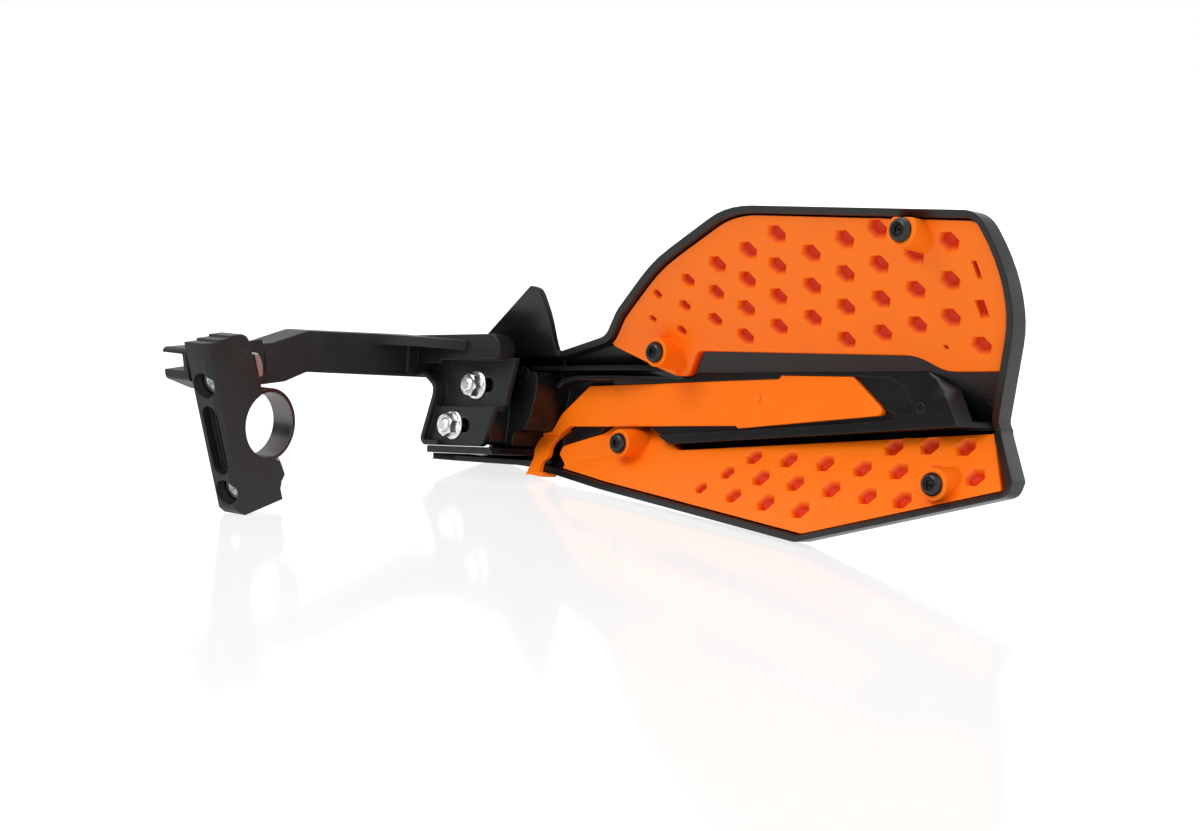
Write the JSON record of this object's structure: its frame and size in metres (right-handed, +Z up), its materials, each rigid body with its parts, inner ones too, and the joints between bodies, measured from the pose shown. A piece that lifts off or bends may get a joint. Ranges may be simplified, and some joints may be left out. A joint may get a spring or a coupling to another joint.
{
  "type": "motorcycle hand guard",
  "caption": "Right-hand guard for a motorcycle: a clamp arm on the handlebar carries a black V-shaped shield with orange vent panels on its inner side.",
  "frame": {"origin": "on the handlebar's axis, at the middle of the clamp's width", "axes": "+X along the handlebar outboard, towards the rider's right; +Y forward; +Z up"},
  "size_m": [0.3408, 0.1967, 0.1389],
  "materials": {
    "satin_black": "satin moulded plastic",
    "black": "satin moulded plastic",
    "orange": "satin moulded plastic",
    "zinc": "bright zinc plate",
    "bare_steel": "bare steel strip",
    "dark_steel": "black-coated screws",
    "brass": "machined inserts"
  },
  "bodies": {
    "root": {"arm": "satin_black", "clamp_strap": "bare_steel", "upper_clamp_bolt": "zinc", "lower_clamp_bolt": "zinc", "upper_clamp_nut": "zinc", "lower_clamp_nut": "zinc", "shield_shell": "black", "spine": "black", "upper_panel": "orange", "lower_panel": "orange", "centre_trim": "orange", "upper_inner_screw": "dark_steel", "upper_outer_screw": "dark_steel", "lower_inner_screw": "dark_steel", "lower_outer_screw": "dark_steel", "upper_inner_insert": "brass", "upper_outer_insert": "brass", "lower_inner_insert": "brass", "lower_outer_insert": "brass", "upper_bracket_bolt": "zinc", "lower_bracket_bolt": "zinc", "upper_flange_nut": "zinc", "lower_flange_nut": "zinc", "upper_washer": "zinc", "lower_washer": "zinc"}
  },
  "joints": []
}
